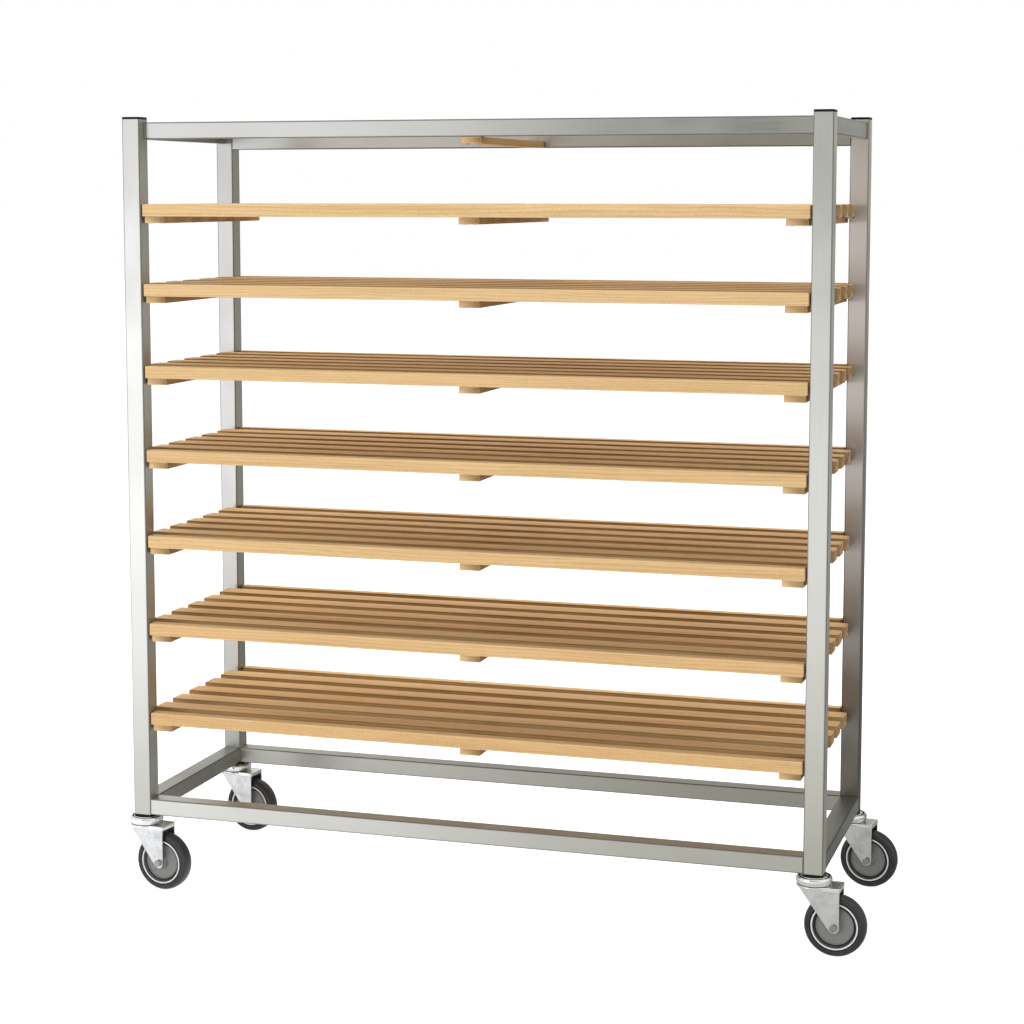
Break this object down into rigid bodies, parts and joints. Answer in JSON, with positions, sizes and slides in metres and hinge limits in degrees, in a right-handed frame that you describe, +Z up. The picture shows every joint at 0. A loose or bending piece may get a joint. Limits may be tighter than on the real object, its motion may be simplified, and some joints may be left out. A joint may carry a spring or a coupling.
{
  "type": "bakery bread rack",
  "caption": "Mobile bakery rack: a square-tube steel frame on swivel casters that carries removable slatted wooden shelves for cooling and moving bread.",
  "frame": {"origin": "on the floor, in the middle of the overall outline with the casters as they stand at rest", "axes": "+Z up, X along the width with the front facing -Y"},
  "size_m": [1.6028, 0.543, 1.663],
  "materials": {
    "steel": "satin, brushed",
    "beech": "oiled, fine straight grain",
    "black_plastic": "matt moulded",
    "zinc": "bright zinc plating",
    "tyre": "solid rubber",
    "grey_plastic": "matt moulded"
  },
  "bodies": {
    "frame": {"post_front_left": "steel", "post_front_right": "steel", "post_rear_left": "steel", "post_rear_right": "steel", "post_caps": "black_plastic", "bottom_rail_front": "steel", "bottom_rail_rear": "steel", "bottom_rail_left": "steel", "bottom_rail_right": "steel", "top_rail_front": "steel", "top_rail_rear": "steel", "top_rail_left": "steel", "top_rail_right": "steel", "top_bar": "beech", "top_bar_screws": "zinc", "shelf_lugs": "steel", "caster_sockets": "black_plastic", "caster_front_left_head": "zinc", "caster_front_right_head": "zinc", "caster_rear_left_head": "zinc", "caster_rear_right_head": "zinc"},
    "shelf_1": {"shelf_1_slats": "beech", "shelf_1_battens": "beech"},
    "shelf_2": {"shelf_2_slats": "beech", "shelf_2_battens": "beech"},
    "shelf_3": {"shelf_3_slats": "beech", "shelf_3_battens": "beech"},
    "shelf_4": {"shelf_4_slats": "beech", "shelf_4_battens": "beech"},
    "shelf_5": {"shelf_5_slats": "beech", "shelf_5_battens": "beech"},
    "shelf_6": {"shelf_6_slats": "beech", "shelf_6_battens": "beech"},
    "shelf_7": {"shelf_7_slats": "beech", "shelf_7_battens": "beech"},
    "caster_front_left_swivel": {"caster_front_left_fork": "zinc", "caster_front_left_axle": "zinc", "caster_front_left_bush": "zinc", "caster_front_left_balls": "zinc"},
    "caster_front_left_wheel": {"caster_front_left_hub": "grey_plastic", "caster_front_left_tyre": "tyre"},
    "caster_front_right_swivel": {"caster_front_right_fork": "zinc", "caster_front_right_axle": "zinc", "caster_front_right_bush": "zinc", "caster_front_right_balls": "zinc"},
    "caster_front_right_wheel": {"caster_front_right_hub": "grey_plastic", "caster_front_right_tyre": "tyre"},
    "caster_rear_left_swivel": {"caster_rear_left_fork": "zinc", "caster_rear_left_axle": "zinc", "caster_rear_left_bush": "zinc", "caster_rear_left_balls": "zinc"},
    "caster_rear_left_wheel": {"caster_rear_left_hub": "grey_plastic", "caster_rear_left_tyre": "tyre"},
    "caster_rear_right_swivel": {"caster_rear_right_fork": "zinc", "caster_rear_right_axle": "zinc", "caster_rear_right_bush": "zinc", "caster_rear_right_balls": "zinc"},
    "caster_rear_right_wheel": {"caster_rear_right_hub": "grey_plastic", "caster_rear_right_tyre": "tyre"}
  },
  "joints": [
    {"name": "shelf_1_lift", "type": "slide", "parent": "frame", "child": "shelf_1", "axis": [0, 0, 1], "range_m": [0, 0.1]},
    {"name": "shelf_2_lift", "type": "slide", "parent": "frame", "child": "shelf_2", "axis": [0, 0, 1], "range_m": [0, 0.1]},
    {"name": "shelf_3_lift", "type": "slide", "parent": "frame", "child": "shelf_3", "axis": [0, 0, 1], "range_m": [0, 0.1]},
    {"name": "shelf_4_lift", "type": "slide", "parent": "frame", "child": "shelf_4", "axis": [0, 0, 1], "range_m": [0, 0.1]},
    {"name": "shelf_5_lift", "type": "slide", "parent": "frame", "child": "shelf_5", "axis": [0, 0, 1], "range_m": [0, 0.1]},
    {"name": "shelf_6_lift", "type": "slide", "parent": "frame", "child": "shelf_6", "axis": [0, 0, 1], "range_m": [0, 0.1]},
    {"name": "shelf_7_lift", "type": "slide", "parent": "frame", "child": "shelf_7", "axis": [0, 0, 1], "range_m": [0, 0.1]},
    {"name": "caster_front_left_swivel_turn", "type": "hinge", "parent": "frame", "child": "caster_front_left_swivel", "pos_m": [-0.76537, -0.23451, 0.15], "axis": [0, 0, 1], "continuous": true},
    {"name": "caster_front_left_wheel_roll", "type": "hinge", "parent": "caster_front_left_swivel", "child": "caster_front_left_wheel", "pos_m": [-0.7217, -0.23987, 0.0625], "axis": [0.1219, 0.9925, 0], "continuous": true},
    {"name": "caster_front_right_swivel_turn", "type": "hinge", "parent": "frame", "child": "caster_front_right_swivel", "pos_m": [0.69463, -0.23451, 0.15], "axis": [0, 0, 1], "continuous": true},
    {"name": "caster_front_right_wheel_roll", "type": "hinge", "parent": "caster_front_right_swivel", "child": "caster_front_right_wheel", "pos_m": [0.7386, -0.23604, 0.0625], "axis": [0.0349, 0.9994, 0], "continuous": true},
    {"name": "caster_rear_left_swivel_turn", "type": "hinge", "parent": "frame", "child": "caster_rear_left_swivel", "pos_m": [-0.76537, 0.23549, 0.15], "axis": [0, 0, 1], "continuous": true},
    {"name": "caster_rear_left_wheel_roll", "type": "hinge", "parent": "caster_rear_left_swivel", "child": "caster_rear_left_wheel", "pos_m": [-0.7217, 0.23013, 0.0625], "axis": [0.1219, 0.9925, 0], "continuous": true},
    {"name": "caster_rear_right_swivel_turn", "type": "hinge", "parent": "frame", "child": "caster_rear_right_swivel", "pos_m": [0.69463, 0.23549, 0.15], "axis": [0, 0, 1], "continuous": true},
    {"name": "caster_rear_right_wheel_roll", "type": "hinge", "parent": "caster_rear_right_swivel", "child": "caster_rear_right_wheel", "pos_m": [0.7383, 0.23013, 0.0625], "axis": [0.1219, 0.9925, 0], "continuous": true}
  ]
}
